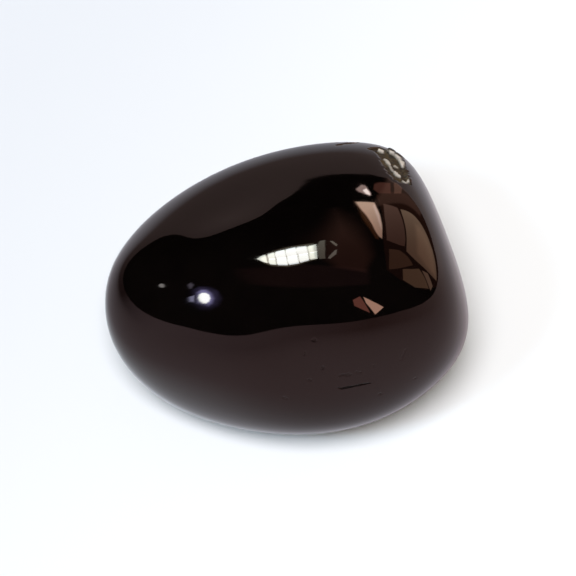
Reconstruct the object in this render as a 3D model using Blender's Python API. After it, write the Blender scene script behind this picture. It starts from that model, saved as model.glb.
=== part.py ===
"""Polished jet stone: one pebble of jet, worn round in a tumbler and polished.

Metres, +Z up. The long side lies along X and the steep front faces -Y. The origin is
the middle of the footprint, on the surface that the stone rests on.
"""

import math

import bmesh
import bpy
from mathutils import Euler, Vector

MM = 0.001

# The egg-shaped core that tumbling wears the lump towards: its semi-axes in millimetres,
# and its turn in degrees about Z, then nose up, then about its own length
CORE_SEMI_AXES = (18.3, 15.5, 13.4)
CORE_YAW = 35
CORE_PITCH = -1
CORE_ROLL = -24

# Flats that stay from the faces of the rough lump, each worn nearly away. Azimuth 0
# faces -Y and 90 faces +X, elevation is above level, both in degrees, and the last
# number is the flat's distance from the core's centre in millimetres
WORN_FLATS = {
    "back slope": (-138, 64, 8.5),
    "back crown": (-169, 65, 9.1),
    "top": (-5, 87, 11.6),
    "front": (6, 19, 11.7),
    "left shoulder": (-36, 38, 11.7),
    "right end": (105, 16, 13.7),
    "left underside": (-25, -1, 13.3),
    "front underside": (-1, -42, 14.7),
    "belly": (0, -90, 12.6),
}

# How tightly the flats meet: a higher power leaves a crisper shoulder between them
SHOULDER_POWER = 8.5

# Low swells between the flats: azimuth, elevation and width in degrees, height in mm
SWELLS = {
    "left swell": (-66, 50, 22, 0.6),
    "front swell": (29, 32, 31, 1.2),
    "back swell": (-111, 67, 33, 0.2),
}

# The small flat spot that the stone rests on, worn this deep into the belly, in mm
REST_SPOT_DEPTH = 0.2

# Five splits of an icosahedron give edges of about 1 mm on a stone of this size
SPHERE_SPLITS = 5

JET_COLOUR = (0.006, 0.004, 0.004, 1.0)
JET_ROUGHNESS = 0.06
JET_IOR = 1.5


def direction(azimuth, elevation):
    """The unit vector at this azimuth and elevation."""
    turn = math.radians(azimuth)
    rise = math.radians(elevation)
    return Vector((math.cos(rise) * math.sin(turn), -math.cos(rise) * math.cos(turn), math.sin(rise)))


def core_turn():
    """The rotation from the stone's frame into the core's own axes."""
    turn = Euler([math.radians(a) for a in (CORE_ROLL, -CORE_PITCH, CORE_YAW)], "XYZ")
    return turn.to_matrix().transposed()


def stone_radius(way, to_core, flats, swells):
    """Millimetres from the core's centre to the surface, in the direction of the unit vector way."""
    in_core = to_core @ way
    reach = math.sqrt(sum((c / a) ** 2 for c, a in zip(in_core, CORE_SEMI_AXES)))
    total = reach ** SHOULDER_POWER
    for normal, distance in flats:
        total += (max(way.dot(normal), 0) / distance) ** SHOULDER_POWER
    radius = total ** (-1 / SHOULDER_POWER)
    for centre, width, height in swells:
        radius += height * math.exp(-((way - centre).length / width) ** 2)
    return radius


def worn_pebble():
    """A sphere with every point moved out or in to the worn stone's surface."""
    to_core = core_turn()
    flats = [(direction(az, el), distance) for az, el, distance in WORN_FLATS.values()]
    swells = [(direction(az, el), math.radians(wide), high) for az, el, wide, high in SWELLS.values()]
    shape = bmesh.new()
    bmesh.ops.create_icosphere(shape, subdivisions=SPHERE_SPLITS, radius=1.0)
    for vertex in shape.verts:
        way = vertex.co.normalized()
        vertex.co = way * stone_radius(way, to_core, flats, swells) * MM
    return shape


def wear_rest_spot(shape):
    """Cuts the belly off level, a little above its lowest point, and closes the cut."""
    lowest = min(vertex.co.z for vertex in shape.verts)
    everything = shape.verts[:] + shape.edges[:] + shape.faces[:]
    cut = bmesh.ops.bisect_plane(
        shape,
        geom=everything,
        plane_co=(0, 0, lowest + REST_SPOT_DEPTH * MM),
        plane_no=(0, 0, -1),
        clear_outer=True,
    )
    rim = [item for item in cut["geom_cut"] if isinstance(item, bmesh.types.BMEdge)]
    bmesh.ops.contextual_create(shape, geom=rim)
    bmesh.ops.recalc_face_normals(shape, faces=shape.faces[:])


def stand_on_origin(shape):
    """Moves the stone so that the origin is the middle of its footprint."""
    xs, ys, zs = zip(*(vertex.co for vertex in shape.verts))
    footprint_middle = Vector(((min(xs) + max(xs)) / 2, (min(ys) + max(ys)) / 2, min(zs)))
    bmesh.ops.translate(shape, verts=shape.verts[:], vec=-footprint_middle)


def polished_jet():
    """Black-brown jet, polished to a waxy gloss."""
    material = bpy.data.materials.new("polished_jet")
    material.use_nodes = True
    shader = material.node_tree.nodes["Principled BSDF"]
    shader.inputs["Base Color"].default_value = JET_COLOUR
    shader.inputs["Metallic"].default_value = 0.0
    shader.inputs["Roughness"].default_value = JET_ROUGHNESS
    shader.inputs["IOR"].default_value = JET_IOR
    material.diffuse_color = JET_COLOUR
    return material


def build_stone(collection):
    shape = worn_pebble()
    wear_rest_spot(shape)
    stand_on_origin(shape)
    mesh = bpy.data.meshes.new("stone")
    shape.to_mesh(mesh)
    shape.free()
    mesh.materials.append(polished_jet())
    mesh.shade_smooth()
    stone = bpy.data.objects.new("stone", mesh)
    collection.objects.link(stone)


for leftover in list(bpy.data.objects):
    bpy.data.objects.remove(leftover, do_unlink=True)

jet_stone = bpy.data.collections.new("jet_stone")
bpy.context.scene.collection.children.link(jet_stone)
build_stone(jet_stone)
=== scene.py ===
import math

import bpy
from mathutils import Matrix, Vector, noise


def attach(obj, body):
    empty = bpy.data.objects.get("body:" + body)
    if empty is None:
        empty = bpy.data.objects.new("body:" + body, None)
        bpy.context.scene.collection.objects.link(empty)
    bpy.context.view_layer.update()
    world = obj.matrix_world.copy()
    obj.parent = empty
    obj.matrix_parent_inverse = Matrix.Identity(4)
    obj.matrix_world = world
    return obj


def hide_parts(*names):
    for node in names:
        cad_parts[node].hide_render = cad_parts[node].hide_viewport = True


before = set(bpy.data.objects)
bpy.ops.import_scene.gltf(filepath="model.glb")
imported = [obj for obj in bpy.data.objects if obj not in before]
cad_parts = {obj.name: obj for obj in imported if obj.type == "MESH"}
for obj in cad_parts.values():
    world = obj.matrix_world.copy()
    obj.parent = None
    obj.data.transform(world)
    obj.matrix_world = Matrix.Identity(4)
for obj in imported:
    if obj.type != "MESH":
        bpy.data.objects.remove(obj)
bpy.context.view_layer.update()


# The smooth pebble
# One lump of jet, the hard black fossil wood of old tree trunks, ground round in a tumbler
# until only a hint of the rough lump's flats is left. It lies loose on its belly.
# A ball of square faces is wrapped onto the CAD stone and relaxed until no facet shows. The
# wrapping is done at a thousand times true size, where Blender's rays miss no thin triangle.
MM = 0.001
BENCH_SCALE = 1000
STONE_CENTRE = Vector((1.17, -1.88, 11.84)) * MM
BALL_SIZE = 4
BALL_CUTS = (2, 1, 1, 1, 1)
RELAX_ROUNDS = 8
RELAX_STEPS = 5
RELAX = 0.5
RESTORE = -0.52
SAME_SPOT = 0.001
LEVEL_WITHIN = math.radians(0.1)
FACING_DOWN = -0.9999
REST_SPOT_RINGS = 3
REST_SPOT_RING = 0.8


def only(piece):
    """Deselects everything, then selects this piece and works on it."""
    bpy.ops.object.select_all(action="DESELECT")
    piece.select_set(True)
    bpy.context.view_layer.objects.active = piece


def select_faces(piece, wanted):
    """Selects the faces that wanted says yes to, and nothing else, and opens the piece for editing."""
    only(piece)
    for part in (piece.data.vertices, piece.data.edges, piece.data.polygons):
        part.foreach_set("select", [False] * len(part))
    for face in piece.data.polygons:
        face.select = wanted(face)
    bpy.ops.object.mode_set(mode="EDIT")
    bpy.ops.mesh.select_mode(type="FACE")


def resize(piece, scale):
    """Makes the piece this many times bigger about the origin."""
    only(piece)
    bpy.ops.transform.resize(value=(scale, scale, scale), center_override=(0, 0, 0))
    bpy.ops.object.transform_apply(location=True, rotation=True, scale=True)


def finish_modifier(piece, kind, **settings):
    """Adds a modifier with these settings and applies it."""
    only(piece)
    bpy.ops.object.modifier_add(type=kind)
    modifier = piece.modifiers[-1]
    for setting, value in settings.items():
        setattr(modifier, setting, value)
    bpy.ops.object.modifier_apply(modifier=modifier.name)


only(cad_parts["stone"])
bpy.ops.object.duplicate()
former = bpy.context.active_object
former.name = "former"
resize(former, BENCH_SCALE)
select_faces(former, lambda face: True)
bpy.ops.mesh.remove_doubles(threshold=SAME_SPOT)
bpy.ops.object.mode_set(mode="OBJECT")
select_faces(former, lambda face: face.normal.z < FACING_DOWN)
bpy.ops.mesh.dissolve_limited(angle_limit=LEVEL_WITHIN)
bpy.ops.object.mode_set(mode="OBJECT")
select_faces(former, lambda face: face.normal.z < FACING_DOWN)
for ring in range(REST_SPOT_RINGS):
    bpy.ops.mesh.inset(thickness=REST_SPOT_RING)
bpy.ops.mesh.poke()
bpy.ops.object.mode_set(mode="OBJECT")

bpy.ops.object.select_all(action="DESELECT")
bpy.ops.mesh.primitive_cube_add(size=BALL_SIZE, location=STONE_CENTRE * BENCH_SCALE)
stone = bpy.context.active_object
stone.name = "polished_jet_pebble"
for cuts in BALL_CUTS:
    select_faces(stone, lambda face: True)
    bpy.ops.mesh.subdivide(number_cuts=cuts)
    bpy.ops.object.mode_set(mode="OBJECT")
    finish_modifier(stone, "CAST", cast_type="SPHERE", factor=1.0, use_radius_as_size=False, size=BALL_SIZE)
finish_modifier(stone, "SHRINKWRAP", target=former, wrap_method="PROJECT",
                use_positive_direction=True, use_negative_direction=False)
for relaxing in range(RELAX_ROUNDS):
    finish_modifier(stone, "SMOOTH", factor=RELAX, iterations=RELAX_STEPS)
    finish_modifier(stone, "SMOOTH", factor=RESTORE, iterations=RELAX_STEPS)
finish_modifier(stone, "SUBSURF", levels=1, render_levels=1)
resize(stone, 1 / BENCH_SCALE)
bpy.ops.object.shade_smooth()
bpy.data.objects.remove(former)

# The brow between top and front is rounded by a last low swell, which keeps its mirroring whole
BROW = Vector((-0.90, -6.51, 21.67)) * MM
BROW_WIDTH = 2.6 * MM
BROW_HEIGHT = 0.10 * MM
BROW_REACH = 3.5
brow = stone.vertex_groups.new(name="brow")
for vertex in stone.data.vertices:
    out = (vertex.co - BROW).length / BROW_WIDTH
    if out < BROW_REACH:
        brow.add([vertex.index], math.exp(-out * out), "REPLACE")
finish_modifier(stone, "DISPLACE", vertex_group="brow", strength=BROW_HEIGHT, mid_level=0.0)


# Unpolished hollow
# On the right shoulder the lump's own crust dips too deep for the tumbler to reach: a dull brown
# hollow about 9 mm long, with pale, lightly rubbed ridges along both sides, and a trace of
# another on the back edge. The skin is cut finer there, painted along lines, and pushed by them.
# Each line follows the surface: x, y, z and half width in mm, point by point
HOLLOWS = (
    (1.0, ((7.39, 10.06, 16.37, 0.25), (8.02, 10.22, 16.22, 0.70), (8.62, 9.41, 16.65, 1.00),
           (9.17, 8.18, 17.27, 1.20), (9.46, 6.40, 18.17, 1.25), (9.76, 4.76, 18.94, 1.15),
           (10.07, 3.62, 19.42, 0.85), (10.45, 3.18, 19.53, 0.40))),
    (0.5, ((4.5, 11.4, 15.4, 0.15), (5.5, 11.9, 15.1, 0.40), (6.4, 12.1, 14.9, 0.15))),
)
# How pale and high each ridge is, then its line
RIDGES = (
    (1.00, ((8.24, 10.05, 16.31, 0.20), (8.46, 9.77, 16.45, 0.25))),
    (1.00, ((9.15, 10.10, 16.05, 0.24), (9.40, 9.62, 16.30, 0.30), (9.80, 8.96, 16.60, 0.33),
            (10.10, 8.42, 16.80, 0.34), (10.22, 7.57, 17.28, 0.30), (10.20, 6.66, 17.82, 0.18))),
    (0.80, ((8.57, 7.82, 17.55, 0.16), (8.83, 7.41, 17.74, 0.25), (9.03, 6.77, 18.05, 0.20))),
    (0.50, ((9.03, 6.59, 18.14, 0.15), (9.28, 5.47, 18.67, 0.15))),
    (0.85, ((9.42, 5.25, 18.76, 0.18), (9.63, 4.67, 19.01, 0.25), (9.84, 4.40, 19.10, 0.20))),
    (0.50, ((9.51, 6.74, 17.99, 0.20), (9.72, 6.55, 18.03, 0.22))),
    (0.60, ((10.10, 3.71, 19.37, 0.15), (10.31, 3.44, 19.45, 0.20), (10.62, 3.61, 19.26, 0.20),
            (10.77, 3.98, 19.01, 0.15))),
)
HOLLOW_MARGINS = (0.7, 0.25)
HOLLOW_DEPTH = 0.24 * MM
RIDGE_HEIGHT = 0.28 * MM
LUMP_SIZE, LUMP_HEIGHT = 0.55 * MM, 0.16 * MM
CRUMB_SIZE, CRUMB_HEIGHT = 0.16 * MM, 0.07 * MM
# How far the edges are frayed and how wide the fraying's grain is, in mm
CRUST_FRAY = (0.22, 0.45)
RIDGE_FRAY = (0.07, 0.30)
# How much of a line's half width the painting takes to rise to full strength
SLOPE_SHARE = 0.55
SKIN_ROUNDNESS = 1.0


def inside_line(spot, line):
    """How many mm this spot lies inside the line's edge, and the half width there."""
    best = (-math.inf, 1)
    for (*start, start_wide), (*end, end_wide) in zip(line, line[1:]):
        start, end = Vector(start), Vector(end)
        along = min(max((spot - start).dot(end - start) / (end - start).length_squared, 0), 1)
        wide = start_wide + (end_wide - start_wide) * along
        best = max(best, (wide - (spot - start.lerp(end, along)).length, wide))
    return best


def cut_finer(piece, lines, margin):
    """Cuts each face that lies this many mm or less outside one of the lines into four."""
    select_faces(piece, lambda face: any(
        inside_line(face.center / MM, line)[0] > -margin for strength, line in lines))
    bpy.ops.mesh.subdivide(number_cuts=1, smoothness=SKIN_ROUNDNESS)
    bpy.ops.object.mode_set(mode="OBJECT")


def paint(piece, name, lines, ragged, grain):
    """Paints along the lines, strongest in their middle, with a frayed edge."""
    weights = []
    for vertex in piece.data.vertices:
        spot = vertex.co / MM
        fray = ragged * noise.noise(spot / grain)
        weight = 0.0
        for strength, line in lines:
            inside, wide = inside_line(spot, line)
            rise = min(max((inside + fray) / (SLOPE_SHARE * wide), 0), 1)
            weight = max(weight, strength * rise * rise * (3 - 2 * rise))
        weights.append(weight)
    group = piece.vertex_groups.new(name=name)
    for index, weight in enumerate(weights):
        if weight:
            group.add([index], weight, "REPLACE")
    mask = piece.data.attributes.new(name + "_paint", "FLOAT", "POINT")
    mask.data.foreach_set("value", weights)


for margin in HOLLOW_MARGINS:
    cut_finer(stone, HOLLOWS, margin)
paint(stone, "crust", HOLLOWS, *CRUST_FRAY)
paint(stone, "ridges", RIDGES, *RIDGE_FRAY)
finish_modifier(stone, "DISPLACE", vertex_group="crust", strength=-HOLLOW_DEPTH, mid_level=0.0)
finish_modifier(stone, "DISPLACE", vertex_group="ridges", strength=RIDGE_HEIGHT, mid_level=0.0)
for name, size, height in (("lumps", LUMP_SIZE, LUMP_HEIGHT), ("crumbs", CRUMB_SIZE, CRUMB_HEIGHT)):
    grit = bpy.data.textures.new(name, "CLOUDS")
    grit.noise_scale = size
    finish_modifier(stone, "DISPLACE", texture=grit, texture_coords="LOCAL", vertex_group="crust",
                    strength=height, mid_level=0.5)


# Hairline crack and pits
# A tapering crack nearly 3 mm long low on the front, with a few shallow pinholes that the buffing
# left around it. Both are pressed into the skin, which is cut finer still along the crack.
CRACKS = (
    (1.0, ((4.45, -13.91, 12.45, 0.04), (4.75, -13.91, 12.34, 0.09), (5.15, -13.86, 12.44, 0.13),
           (5.45, -13.82, 12.48, 0.10), (5.75, -13.79, 12.52, 0.08), (6.30, -13.71, 12.60, 0.11),
           (6.85, -13.61, 12.66, 0.07), (7.25, -13.54, 12.67, 0.03))),
)
PITS = (
    (0.7, ((4.55, -13.68, 13.86, 0.16), (5.15, -13.64, 13.92, 0.24), (5.50, -13.62, 13.85, 0.16))),
    (0.5, ((5.90, -13.52, 14.18, 0.14), (6.30, -13.50, 14.04, 0.16))),
    (0.7, ((3.10, -13.56, 14.60, 0.20), (3.16, -13.54, 14.80, 0.20))),
    (0.6, ((1.95, -13.78, 13.36, 0.20), (2.20, -13.78, 13.32, 0.20))),
    (0.7, ((7.95, -13.55, 11.12, 0.20), (8.10, -13.52, 11.12, 0.20))),
    (0.5, ((11.0, -12.46, 11.95, 0.16), (11.1, -12.42, 11.95, 0.16))),
    (0.5, ((2.30, -12.73, 17.44, 0.22), (2.50, -12.73, 17.42, 0.22))),
    (0.5, ((1.60, -13.06, 16.20, 0.16), (1.58, -13.10, 15.95, 0.16))),
    (0.4, ((7.35, -13.22, 14.65, 0.16), (7.45, -13.20, 14.55, 0.16))),
    (0.4, ((9.75, -12.60, 14.75, 0.18), (10.15, -12.25, 15.70, 0.14))),
    (0.5, ((-0.15, -14.02, 11.20, 0.20), (0.05, -14.03, 11.14, 0.20))),
)
CRACK_MARGINS = (0.5, 0.25, 0.1)
PIT_MARGINS = (0.4, 0.1)
CRACK_FRAY = (0.02, 0.12)
PIT_FRAY = (0.10, 0.18)
CRACK_DEPTH = 0.16 * MM
PIT_DEPTH = 0.03 * MM

for margin in CRACK_MARGINS:
    cut_finer(stone, CRACKS, margin)
for margin in PIT_MARGINS:
    cut_finer(stone, PITS, margin)
paint(stone, "cracks", CRACKS, *CRACK_FRAY)
paint(stone, "pits", PITS, *PIT_FRAY)
finish_modifier(stone, "DISPLACE", vertex_group="cracks", strength=-CRACK_DEPTH, mid_level=0.0)
finish_modifier(stone, "DISPLACE", vertex_group="pits", strength=-PIT_DEPTH, mid_level=0.0)

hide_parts("stone")
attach(stone, "root")


# Polished jet
# Jet ground with fine grit and buffed to a wet gloss: near black with a brown cast, so
# that nearly all of its light is what the polish mirrors, brown head-on and white at the rim.
JET_DARK = "030202"
JET_BROWN = "080504"
JET_IOR = 1.42
JET_POLISH = 0.03
MOTTLE_WIDTH = 2.5 * MM
# Head-on, the polish keeps all of the red, two thirds of the green and a little less blue
JET_CAST = "ffd7ce"


def linear(colour):
    """An sRGB hex colour as Blender's linear red, green, blue and alpha."""
    parts = [int(colour[i:i + 2], 16) / 255 for i in (0, 2, 4)]
    return [c / 12.92 if c <= 0.04045 else ((c + 0.055) / 1.055) ** 2.4 for c in parts] + [1.0]


def add_node(tree, kind, inputs=(), **settings):
    """Adds a node, sets it up, and gives each named input a value or a link."""
    node = tree.nodes.new(kind)
    for setting, value in settings.items():
        setattr(node, setting, value)
    for name, value in dict(inputs).items():
        if isinstance(value, bpy.types.NodeSocket):
            tree.links.new(value, node.inputs[name])
        else:
            node.inputs[name].default_value = value
    return node


jet = bpy.data.materials.new("tumbled_and_buffed_jet")
jet.use_nodes = True
tree = jet.node_tree
shader = tree.nodes["Principled BSDF"]
shader.inputs["IOR"].default_value = JET_IOR
shader.inputs["Specular Tint"].default_value = linear(JET_CAST)
place = add_node(tree, "ShaderNodeTexCoord").outputs["Object"]
mottle = add_node(tree, "ShaderNodeTexNoise", {"Vector": place, "Scale": 1 / MOTTLE_WIDTH, "Detail": 4.0})
shade = add_node(tree, "ShaderNodeMix", {
    0: mottle.outputs["Fac"], 6: linear(JET_DARK), 7: linear(JET_BROWN)}, data_type="RGBA")

# Where the tumbler never reached, a matt brown crust with darker crumbs and pale rubbed ridges
CRUST_DARK = "120d07"
CRUST_BROWN = "3e311a"
RIDGE_PALE = "d2c6ba"
CRUST_ROUGHNESS = 0.75
CRUMB_WIDTH = 0.45 * MM
CRUMB_TONES = (0.38, 0.68)
CRUST_STARTS, CRUST_FULL = 0.05, 0.4
crumbs = add_node(tree, "ShaderNodeTexNoise", {"Vector": place, "Scale": 1 / CRUMB_WIDTH, "Detail": 5.0})
crumb_tone = add_node(tree, "ShaderNodeMapRange", {
    "Value": crumbs.outputs["Fac"], "From Min": CRUMB_TONES[0], "From Max": CRUMB_TONES[1]},
    interpolation_type="SMOOTHSTEP")
crust_shade = add_node(tree, "ShaderNodeMix", {
    0: crumb_tone.outputs[0], 6: linear(CRUST_DARK), 7: linear(CRUST_BROWN)}, data_type="RGBA")
painted = {name: add_node(tree, "ShaderNodeAttribute", attribute_name=name + "_paint").outputs["Fac"]
           for name in ("crust", "ridges", "cracks", "pits")}
ridge_shade = add_node(tree, "ShaderNodeMix", {
    0: painted["ridges"], 6: crust_shade.outputs[2], 7: linear(RIDGE_PALE)}, data_type="RGBA")
dull = add_node(tree, "ShaderNodeMapRange", {
    "Value": painted["crust"], "From Min": CRUST_STARTS, "From Max": CRUST_FULL},
    interpolation_type="SMOOTHSTEP").outputs[0]
whole = add_node(tree, "ShaderNodeMix", {
    0: dull, 6: shade.outputs[2], 7: ridge_shade.outputs[2]}, data_type="RGBA")
tree.links.new(whole.outputs[2], shader.inputs["Base Color"])
flaws = add_node(tree, "ShaderNodeMath", {0: painted["cracks"], 1: painted["pits"]}, operation="MAXIMUM")
rough = add_node(tree, "ShaderNodeMath", {0: dull, 1: flaws.outputs[0]}, operation="MAXIMUM").outputs[0]
finish = add_node(tree, "ShaderNodeMapRange", {
    "Value": rough, "To Min": JET_POLISH, "To Max": CRUST_ROUGHNESS})
tree.links.new(finish.outputs[0], shader.inputs["Roughness"])
stone.data.materials.append(jet)


# Floor
# A pale sheet, wide enough for its far edge to lie level with the stone's horizon. The
# camera sees it nearly white, with painted shade making it a little dimmer to the upper left. The
# polish mirrors it in other tones, painted room light and shade that only reflections show, so
# that the stone's lower half shows brown-grey and its rim pale, as on the real stone.
FLOOR_HALF = 30.0
PAPER_BRIGHT = "f4f4f4"
PAPER_PAINTED_SHADE = "e0e2e7"
PAPER_ROUGHNESS = 0.9
TOWARDS_BRIGHT = (0.6, -0.35, 0)
# The painted shade is fullest this far back and to the left of the stone, and gone this far forward
DIM_FROM = -34 * MM
BRIGHT_FROM = 14 * MM
# Painted room light and shade that the polish mirrors, by degrees round from the front: next to the
# stone, near, and far out. Plain gradients, palest at the left, and far out at the right too, and dim far
# out behind
NEXT_PAINTED_LIGHT = {-180: "c6c8ce", -60: "eff2f8", 90: "bbafb4", 180: "c6c8ce"}
NEAR_PAINTED_LIGHT = {-180: "aaa9b0", -30: "dcd0d7", 90: "d2c3c4", 180: "aaa9b0"}
FAR_PAINTED_LIGHT = {-180: "746460", -92: "5c4a4a", -60: "d4cad4", 20: "9c8281", 115: "e6d7d4", 180: "746460"}
NEXT_END = 18 * MM
NEAR_START = 34 * MM
FAR_START = 150 * MM

bpy.ops.object.select_all(action="DESELECT")
bpy.ops.mesh.primitive_plane_add(size=2 * FLOOR_HALF)
floor = bpy.context.active_object
floor.name = "floor"
paper = bpy.data.materials.new("matt_paper")
paper.use_nodes = True
tree = paper.node_tree
shader = tree.nodes["Principled BSDF"]
shader.inputs["Roughness"].default_value = PAPER_ROUGHNESS
shader.inputs["Specular IOR Level"].default_value = 0.0
place = add_node(tree, "ShaderNodeTexCoord").outputs["Object"]
# Painted shade: the sheet's colour dims towards the upper left, standing in for less light falling there
side = add_node(tree, "ShaderNodeVectorMath", {0: place, 1: TOWARDS_BRIGHT}, operation="DOT_PRODUCT")
painted_falloff = add_node(tree, "ShaderNodeMapRange", {
    "Value": side.outputs["Value"], "From Min": DIM_FROM, "From Max": BRIGHT_FROM},
    interpolation_type="SMOOTHSTEP")
seen = add_node(tree, "ShaderNodeMix", {
    0: painted_falloff.outputs[0], 6: linear(PAPER_PAINTED_SHADE), 7: linear(PAPER_BRIGHT)}, data_type="RGBA")
parts = add_node(tree, "ShaderNodeSeparateXYZ", {0: place})
ahead = add_node(tree, "ShaderNodeMath", {0: parts.outputs["Y"], 1: -1.0}, operation="MULTIPLY")
angle = add_node(tree, "ShaderNodeMath", {0: parts.outputs["X"], 1: ahead.outputs[0]}, operation="ARCTAN2")
around = add_node(tree, "ShaderNodeMapRange", {
    "Value": angle.outputs[0], "From Min": -math.pi, "From Max": math.pi})
away = add_node(tree, "ShaderNodeVectorMath", {0: place}, operation="LENGTH")
outward = add_node(tree, "ShaderNodeMapRange", {
    "Value": away.outputs["Value"], "From Min": NEAR_START, "From Max": FAR_START},
    interpolation_type="SMOOTHSTEP")
beside = add_node(tree, "ShaderNodeMapRange", {
    "Value": away.outputs["Value"], "From Min": NEXT_END, "From Max": NEAR_START},
    interpolation_type="SMOOTHSTEP")
rings = []
for tones in (NEXT_PAINTED_LIGHT, NEAR_PAINTED_LIGHT, FAR_PAINTED_LIGHT):
    ring = add_node(tree, "ShaderNodeValToRGB", {"Fac": around.outputs[0]})
    stops = ring.color_ramp.elements
    for degrees, tone in tones.items():
        stop = {-180: stops[0], 180: stops[-1]}.get(degrees) or stops.new(degrees / 360 + 0.5)
        stop.color = linear(tone)
    rings.append(ring)
near = add_node(tree, "ShaderNodeMix", {
    0: beside.outputs[0], 6: rings[0].outputs["Color"], 7: rings[1].outputs["Color"]}, data_type="RGBA")
painted_reflection = add_node(tree, "ShaderNodeMix", {
    0: outward.outputs[0], 6: near.outputs[2], 7: rings[2].outputs["Color"]}, data_type="RGBA")
# Glossy rays see the painted reflection of room light and shade; the camera sees the sheet with its painted
# shade
ray = add_node(tree, "ShaderNodeLightPath")
both = add_node(tree, "ShaderNodeMix", {
    0: ray.outputs["Is Glossy Ray"], 6: seen.outputs[2], 7: painted_reflection.outputs[2]}, data_type="RGBA")
tree.links.new(both.outputs[2], shader.inputs["Base Color"])
floor.data.materials.append(paper)


# Studio light
# One broad lamp high in front, a small cool one from the left and a pale surround light the
# floor and the stone. None of them shows in the polish.
def direction(azimuth, elevation):
    """The unit vector this many degrees round from the front and above level."""
    turn, rise = math.radians(azimuth), math.radians(elevation)
    return Vector((math.cos(rise) * math.sin(turn), -math.cos(rise) * math.cos(turn), math.sin(rise)))


# Azimuth, elevation and spread in degrees, strength, and colour as red, green and blue
SUNS = {
    "overhead_lamp": (-6.9, 59.5, 24.0, 3.66, (0.955, 0.965, 1.0)),
    "left_lamp": (-41.5, 45.6, 8.0, 0.65, (0.496, 0.764, 1.0)),
}
SURROUND = (0.14, 0.114, 0.064, 1.0)


for name, (azimuth, elevation, spread, strength, colour) in SUNS.items():
    lamp = bpy.data.lights.new(name, "SUN")
    lamp.angle = math.radians(spread)
    lamp.energy = strength
    lamp.color = colour
    holder = bpy.data.objects.new(name, lamp)
    holder.rotation_euler = direction(azimuth, elevation).to_track_quat("Z", "Y").to_euler()
    holder.visible_glossy = False
    bpy.context.scene.collection.objects.link(holder)

surround = bpy.data.worlds.new("surround")
surround.use_nodes = True
bpy.context.scene.world = surround
sky = surround.node_tree
sky.nodes.clear()
ray = add_node(sky, "ShaderNodeLightPath")
tone = add_node(sky, "ShaderNodeMix", {
    0: ray.outputs["Is Glossy Ray"], 6: SURROUND, 7: (0.0, 0.0, 0.0, 1.0)}, data_type="RGBA")
glow = add_node(sky, "ShaderNodeBackground", {"Color": tone.outputs[2]})
add_node(sky, "ShaderNodeOutputWorld", {"Surface": glow.outputs[0]})


# Lit cards
# Cut white and brown cards, each lit evenly, that only the polish sees. They are no part of the
# stone: they put in its polish a long highlight, a small bright spot and warm panes to the right.
CARD_AWAY = 3.0
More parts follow.
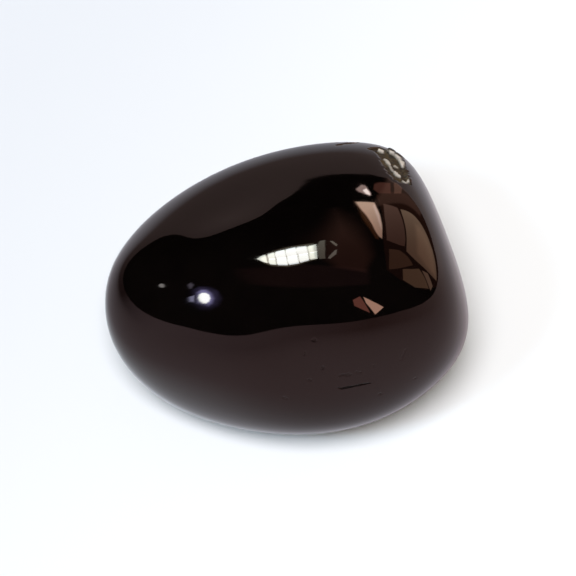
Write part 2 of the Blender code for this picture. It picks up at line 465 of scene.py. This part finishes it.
# Each card: its corners as degrees round from the front and above level, seen from the stone,
# how bright it is, its colour, and how many degrees its light takes to fade in from the edge
CARDS = {
    "haze": (((40.6, 67.1), (143.4, 64.5), (-174.2, 6.4), (-172.4, 5.6), (-146.5, 59.7), (-98.3, 78.5),
        (-24.1, 83.5)), 0.31, "ffbda7", 9),
    "haze_low": (((-129.7, 61.4), (-87.8, 44.0), (-56.5, 27.6), (28.5, 44.4), (76.2, 73.7)), 0.11,
        "ffc4cc", 9),
    "strip_glow": (((-167.9, 29.7), (-166.5, 30.3), (-129.0, 50.1), (-120.0, 52.3), (-112.2, 53.8),
        (-100.7, 56.0), (-102.1, 61.1), (-117.3, 63.6), (-149.3, 59.6), (-157.6, 51.5), (-164.4, 39.9)),
        1.8, "efffe1", 1.2),
    "strip_back": (((-166.3, 34.1), (-164.9, 34.7), (-136.5, 48.6), (-127.6, 50.8), (-118.4, 53.5),
        (-110.8, 56.2), (-115.3, 60.6), (-130.7, 60.9), (-151.1, 56.8), (-161.3, 44.9)), 13, "e1fff4",
        0.5),
    "tip": (((-142.91, 46.09), (-136.09, 48.24), (-126.39, 50.78), (-119.79, 52.85), (-117.51, 53.52),
        (-112.35, 55.37), (-117.05, 54.84), (-125.46, 53.16), (-132.99, 50.78)), 29, "d8fffb", 0.1),
    "strip_1_top": (((-150.93, 43.00), (-144.80, 45.42), (-127.46, 53.09), (-131.68, 53.74), (-140.28,
        50.23), (-145.14, 47.43)), 25, "d7fdff", 0.1),
    "strip_1": (((-134.10, 52.91), (-129.50, 52.48), (-108.61, 56.03), (-108.27, 57.82), (-115.39,
        57.26), (-125.22, 55.54)), 28, "d3fdff", 0.1),
    "strip_2_top": (((-158.12, 39.26), (-152.27, 42.27), (-132.59, 53.81), (-140.11, 53.92), (-143.28,
        52.25), (-148.62, 48.74), (-152.95, 45.04)), 28, "cff2ff", 0.1),
    "strip_2": (((-142.59, 52.68), (-135.00, 52.95), (-107.38, 58.24), (-109.19, 59.71), (-111.22,
        60.96), (-120.12, 59.93), (-128.48, 58.19), (-136.12, 55.70)), 34, "caf2ff", 0.1),
    "strip_3_top": (((-163.22, 34.98), (-158.82, 38.75), (-141.58, 53.58), (-146.26, 52.40), (-150.08,
        50.97), (-154.51, 47.06), (-159.65, 40.92)), 26, "d0f2ff", 0.1),
    "strip_3": (((-151.79, 49.59), (-143.91, 52.32), (-113.09, 61.10), (-124.97, 62.09), (-133.98,
        59.54), (-141.25, 56.51), (-147.06, 53.16)), 33, "caf2ff", 0.1),
    "strip_4_top": (((-165.17, 33.79), (-163.34, 35.05), (-151.03, 50.52), (-156.96, 47.83), (-159.71,
        44.13), (-161.89, 40.57)), 22, "d5f4ff", 0.1),
    "strip_4": (((-157.99, 46.52), (-152.67, 49.11), (-127.80, 61.80), (-131.62, 61.52), (-141.34,
        60.00), (-146.80, 56.89), (-153.21, 51.83)), 29, "cef4ff", 0.1),
    "strip_5_top": (((-167.10, 32.45), (-166.15, 33.19), (-165.20, 34.08), (-157.54, 47.59), (-161.33,
        45.70), (-164.06, 40.46), (-165.47, 37.14)), 17, "e0fffa", 0.1),
    "strip_5": (((-162.07, 44.43), (-158.53, 46.29), (-143.36, 59.41), (-150.18, 58.46), (-157.44,
        51.37)), 21, "d8fffc", 0.1),
    "slat_1": (((-170.0, 28.0), (-168.7, 28.3), (-149.5, 59.7), (-154.7, 60.8), (-166.0, 42.6)), 1.9,
        "ebffee", 0.3),
    "slat_2": (((-171.53, 37.87), (-170.96, 30.91), (-170.16, 30.33), (-170.18, 35.37), (-170.54,
        41.29)), 2.5, "f1ffef", 0.2),
    "slat_3": (((-170.0, 46.2), (-168.7, 46.5), (-156.3, 60.7), (-156.7, 63.2), (-167.0, 54.8)), 2.8,
        "eafff6", 0.3),
    "lamp_glow": (((-69.3, 16.8), (-68.3, 12.7), (-59.9, 6.2), (-56.4, 5.0), (-53.6, 5.7), (-51.9, 8.2),
        (-52.8, 12.3), (-57.3, 17.2), (-64.6, 18.7)), 1.9, "9ba8ff", 4),
    "lamp_ring": (((-65.2, 14.5), (-64.7, 11.8), (-59.4, 7.0), (-55.1, 6.6), (-54.3, 8.4), (-55.3, 11.2),
        (-58.4, 14.2), (-62.7, 15.8)), 12, "a3baff", 2.2),
    "lamp": (((-62.3, 12.4), (-62.2, 10.9), (-60.9, 9.3), (-59.1, 8.0), (-57.5, 7.4), (-56.4, 7.6),
        (-56.1, 8.8), (-56.8, 10.5), (-58.6, 12.3), (-61.0, 13.0)), 38, "d8fff5", 0.7),
    "lamp_tail": (((-64.0, 9.5), (-61.5, 7.6), (-59.3, 7.3), (-63.0, 10.9)), 10, "b3cfff", 0.6),
    "lamp_ghost": (((-76.9, 19.7), (-74.3, 16.6), (-69.2, 13.5), (-67.9, 14.0), (-71.5, 17.5)), 2.5,
        "c7dbff", 0.9),
    "glint": (((-83.6, 18.3), (-81.6, 17.1), (-78.9, 16.1), (-77.1, 15.7), (-77.0, 16.1), (-78.7, 17.2),
        (-81.4, 18.4), (-83.5, 18.8)), 6.5, "dffbff", 0.35),
    "panes_ground": (((67.4, 14.0), (69.8, 10.3), (92.3, -1.9), (166.7, 1.2), (-178.4, 5.7), (-179.3,
        9.3), (175.7, 25.4), (165.7, 44.3), (162.7, 47.7), (132.7, 63.6), (122.6, 65.5), (95.2, 66.0),
        (72.3, 61.6), (66.5, 56.9), (64.2, 54.2), (60.6, 47.4), (58.3, 39.7), (59.5, 31.5), (60.6, 27.5),
        (62.1, 24.2)), 0.12, "ffa98a", 1),
    "triangle": (((-177.71, 5.22), (-177.30, 3.61), (-176.88, 2.51), (-176.29, 2.24), (-175.40, 3.09),
        (-175.71, 3.85), (-176.47, 4.88), (-177.42, 5.85)), 2.3, "ffe0d6", 0.12),
    "triangle_edge": (((-177.53, 5.73), (-177.42, 4.65), (-176.96, 3.18), (-176.20, 3.60), (-176.63,
        4.85)), 6.5, "fffcf8", 0.15),
    "sliver": (((168.4, 40.1), (-178.4, 8.6), (-175.0, 6.1), (-176.3, 11.1), (178.0, 26.9), (176.1,
        30.6), (172.6, 35.9)), 5, "ffe0c6", 0.3),
    "sliver_edge": (((174.2, 30.4), (174.4, 28.4), (-178.5, 9.0), (-177.9, 9.7), (-179.1, 14.4), (176.7,
        25.5)), 3.2, "eef3ff", 0.8),
    "sliver_glow": (((169.5, 40.6), (-175.3, 6.1), (-174.8, 5.5), (-176.5, 14.4), (-178.7, 21.8), (177.6,
        30.7), (173.3, 38.1)), 0.42, "ffab6f", 0.5),
    "high_pane_a": (((176.2, 0.4), (-178.5, 2.1), (-178.0, 3.7), (-179.3, 5.5), (176.6, 5.4)), 0.41,
        "ffa992", 0.3),
    "high_pane_b": (((167.8, -10.1), (170.2, -10.2), (174.9, 0.3), (175.3, 5.2), (171.1, 3.6)), 0.5,
        "ffc2a6", 0.4),
    "high_haze": (((151.5, -9.5), (160.5, -13.6), (165.6, -12.9), (175.0, -5.9), (-174.7, 12.5), (152.2,
        6.5)), 0.23, "ffcab2", 2),
    "pane_a": (((139.9, 43.7), (172.5, 12.9), (179.5, 9.9), (177.4, 18.1), (173.2, 28.1), (165.2, 41.5),
        (157.2, 44.1), (148.5, 45.3), (143.2, 44.5)), 0.7, "ffd2bc", 0.4),
    "pane_b": (((95.0, 2.1), (126.4, 5.6), (170.8, 13.6), (167.5, 18.3), (148.6, 37.0), (129.0, 46.4),
        (121.0, 45.2), (115.3, 43.4), (107.6, 39.3), (103.5, 35.9), (101.9, 34.0), (99.3, 30.0), (94.8,
        18.6), (93.9, 13.3), (94.0, 7.7)), 1.4, "ffe2c0", 0.5),
    "pane_b_bright": (((96.4, 2.4), (126.4, 5.6), (137.4, 8.0), (149.4, 11.7), (157.0, 17.9), (151.5,
        24.4), (138.2, 33.1), (126.0, 37.7), (117.8, 38.8), (106.7, 32.1), (99.0, 24.0), (95.6, 13.7)),
        0.59, "ffdab4", 8),
    "pane_c": (((75.3, 60.4), (87.5, 49.3), (95.3, 40.8), (121.9, 48.2), (137.1, 49.8), (151.3, 52.2),
        (131.9, 61.1), (122.0, 62.9)), 0.59, "ffd5af", 0.5),
    "pane_d": (((60.1, 25.6), (61.6, 19.8), (67.9, 14.3), (75.8, 7.4), (82.9, 18.8), (92.4, 32.4), (82.6,
        49.4), (64.6, 41.3), (60.3, 38.2), (59.7, 30.1)), 1.2, "ffe4bc", 0.8),
    "pane_e": (((75.4, 4.4), (83.6, 5.4), (93.3, 18.3), (91.8, 28.4), (88.2, 24.9), (79.6, 12.8), (77.7,
        9.4)), 1.6, "ffe6c7", 0.8),
    "patch_left": (((6.8, 25.3), (8.0, 17.0), (19.5, 5.2), (13.5, 30.1)), 2.8, "ffb7a5", 0.6),
    "patch_right": (((15.2, 29.0), (16.9, 18.8), (22.1, 2.8), (28.7, 9.2)), 10, "ffe6cf", 0.6),
}

for name, (corners, brightness, colour, fade) in CARDS.items():
    rays = [direction(*corner) for corner in corners]
    way = sum(rays, Vector()).normalized()
    turn = way.to_track_quat("Z", "Y")
    across, up = turn @ Vector((1, 0, 0)), turn @ Vector((0, 1, 0))
    spots = [Vector((out.dot(across), out.dot(up))) * (CARD_AWAY / out.dot(way)) for out in rays]
    low = Vector([min(spot[axis] for spot in spots) for axis in (0, 1)])
    size = Vector([max(spot[axis] for spot in spots) for axis in (0, 1)]) - low
    lamp = bpy.data.lights.new(name, "AREA")
    lamp.shape = "RECTANGLE"
    lamp.size, lamp.size_y = size
    lamp.energy = brightness * math.pi * size.x * size.y
    lamp.color = linear(colour)[:3]
    lamp.use_shadow = False
    lamp.use_nodes = True
    tree = lamp.node_tree
    card_place = add_node(tree, "ShaderNodeNewGeometry").outputs["Parametric"]
    centre = sum(spots, Vector((0, 0))) / len(spots)
    inside = None
    for spot, following in zip(spots, spots[1:] + spots[:1]):
        inward = (following - spot).orthogonal().normalized()
        if inward.dot(centre - spot) < 0:
            inward.negate()
        reach = add_node(tree, "ShaderNodeVectorMath", {
            0: card_place, 1: (inward.x * size.x, inward.y * size.y, 0)}, operation="DOT_PRODUCT")
        depth = add_node(tree, "ShaderNodeMath", {
            0: reach.outputs["Value"], 1: inward.dot(low - spot)}, operation="ADD").outputs[0]
        if inside is not None:
            depth = add_node(tree, "ShaderNodeMath", {0: inside, 1: depth}, operation="MINIMUM").outputs[0]
        inside = depth
    lit = add_node(tree, "ShaderNodeMapRange", {
        "Value": inside, "From Max": CARD_AWAY * math.radians(fade)}, interpolation_type="SMOOTHSTEP")
    tree.links.new(lit.outputs[0], tree.nodes["Emission"].inputs["Strength"])
    holder = bpy.data.objects.new(name, lamp)
    holder.rotation_euler = turn.to_euler()
    middle = low + size / 2
    holder.location = STONE_CENTRE + way * CARD_AWAY + across * middle.x + up * middle.y
    holder.visible_diffuse = False
    holder.visible_camera = False
    bpy.context.scene.collection.objects.link(holder)


# Camera
# It looks down at the stone 50 degrees above level, from 250 mm away, as in the photograph.
CAMERA_RISE = 50
CAMERA_AWAY = 250 * MM
CAMERA_LENS = 178.2
CAMERA_SENSOR = 36.0
# The stone's centre lands right of and above the picture's middle by these lengths at its distance
CENTRE_RIGHT = 1.05 * MM
CENTRE_UP = 0.39 * MM

eye = bpy.data.objects.new("camera", bpy.data.cameras.new("camera"))
bpy.context.scene.collection.objects.link(eye)
back = direction(0, CAMERA_RISE)
right = Vector((1, 0, 0))
up = back.cross(right)
aim_point = STONE_CENTRE - right * CENTRE_RIGHT - up * CENTRE_UP
eye.location = STONE_CENTRE + back * CAMERA_AWAY
eye.rotation_euler = (eye.location - aim_point).to_track_quat("Z", "Y").to_euler()
eye.data.sensor_width = CAMERA_SENSOR
eye.data.lens = CAMERA_LENS
eye.data.clip_start = 10 * MM
bpy.context.scene.camera = eye
bpy.context.scene.view_settings.view_transform = "Standard"
